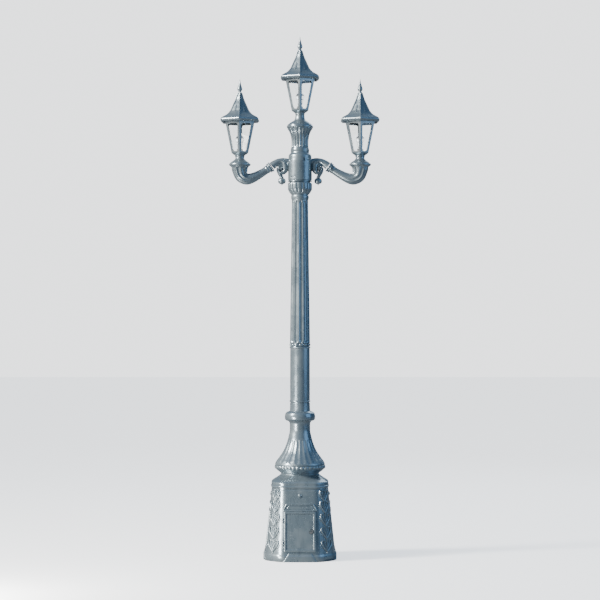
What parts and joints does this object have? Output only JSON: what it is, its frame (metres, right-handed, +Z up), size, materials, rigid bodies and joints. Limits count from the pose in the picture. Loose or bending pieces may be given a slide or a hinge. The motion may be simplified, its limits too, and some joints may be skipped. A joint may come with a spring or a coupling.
{
  "type": "triple head lamp post",
  "caption": "Tall cast lamp post with a square pedestal, fluted shaft, scrolled arms and six-sided lanterns with hinged hoods.",
  "frame": {"origin": "middle of the foot, on the ground", "axes": "+Z up the post, -Y towards the door, +X towards the right arm"},
  "size_m": [1.069, 0.485, 3.509],
  "materials": {
    "post_paint": "semi-gloss blue-grey paint on cast metal",
    "pane_glass": "clear flat panes",
    "lamp_glass": "clear thin glass",
    "porcelain": "glazed white",
    "galvanised_steel": "dull zinc coat",
    "plain_steel": "bright steel",
    "board": "matt insulating board",
    "fuse_housing": "dark moulded plastic"
  },
  "bodies": {
    "post": {"base_flange": "galvanised_steel", "core_tube": "galvanised_steel", "pedestal": "post_paint", "pedestal_cap": "post_paint", "bell_skirt": "post_paint", "collar_ring": "post_paint", "lower_shaft": "post_paint", "lobed_ring": "post_paint", "fluted_shaft": "post_paint", "neck_ring": "post_paint", "cup_capital": "post_paint", "arm_hub": "post_paint", "hub_set_screws": "plain_steel", "top_capital": "post_paint", "capital_cap": "post_paint", "backboard_brackets": "galvanised_steel", "backboard": "board", "fuse_box": "fuse_housing", "fuse_box_cover": "fuse_housing", "earth_stud": "galvanised_steel", "door_hinge_pins": "plain_steel", "arm_root_left": "post_paint", "arm_pendant_left": "post_paint", "arm_left": "post_paint", "lantern_seat_left": "post_paint", "arm_root_right": "post_paint", "arm_pendant_right": "post_paint", "arm_right": "post_paint", "lantern_seat_right": "post_paint", "lantern_base_left": "post_paint", "lantern_cage_left": "post_paint", "lantern_panes_left": "pane_glass", "lampholder_left": "porcelain", "lamp_left": "lamp_glass", "hood_hinge_pin_left": "plain_steel", "lantern_base_middle": "post_paint", "lantern_cage_middle": "post_paint", "lantern_panes_middle": "pane_glass", "lampholder_middle": "porcelain", "lamp_middle": "lamp_glass", "hood_hinge_pin_middle": "plain_steel", "lantern_base_right": "post_paint", "lantern_cage_right": "post_paint", "lantern_panes_right": "pane_glass", "lampholder_right": "porcelain", "lamp_right": "lamp_glass", "hood_hinge_pin_right": "plain_steel"},
    "door": {"door": "post_paint"},
    "door_lock": {"door_lock": "plain_steel"},
    "hood_left": {"lantern_hood_left": "post_paint", "hood_finial_left": "post_paint"},
    "hood_middle": {"lantern_hood_middle": "post_paint", "hood_finial_middle": "post_paint"},
    "hood_right": {"lantern_hood_right": "post_paint", "hood_finial_right": "post_paint"}
  },
  "joints": [
    {"name": "door_hinge", "type": "hinge", "parent": "post", "child": "door", "pos_m": [-0.113, -0.23937, 0.04858], "axis": [0, -0.1067, -0.9943], "range_deg": [0, 110]},
    {"name": "door_lock_turn", "type": "hinge", "parent": "door", "child": "door_lock", "pos_m": [0.0755, -0.21768, 0.20013], "axis": [0, -0.9943, 0.1067], "range_deg": [0, 90]},
    {"name": "hood_hinge_left", "type": "hinge", "parent": "post", "child": "hood_left", "pos_m": [-0.513, 0, 2.927], "axis": [0, -1, 0], "range_deg": [0, 80]},
    {"name": "hood_hinge_middle", "type": "hinge", "parent": "post", "child": "hood_middle", "pos_m": [0.108, 0, 3.212], "axis": [0, 1, 0], "range_deg": [0, 80]},
    {"name": "hood_hinge_right", "type": "hinge", "parent": "post", "child": "hood_right", "pos_m": [0.513, 0, 2.927], "axis": [0, 1, 0], "range_deg": [0, 80]}
  ]
}
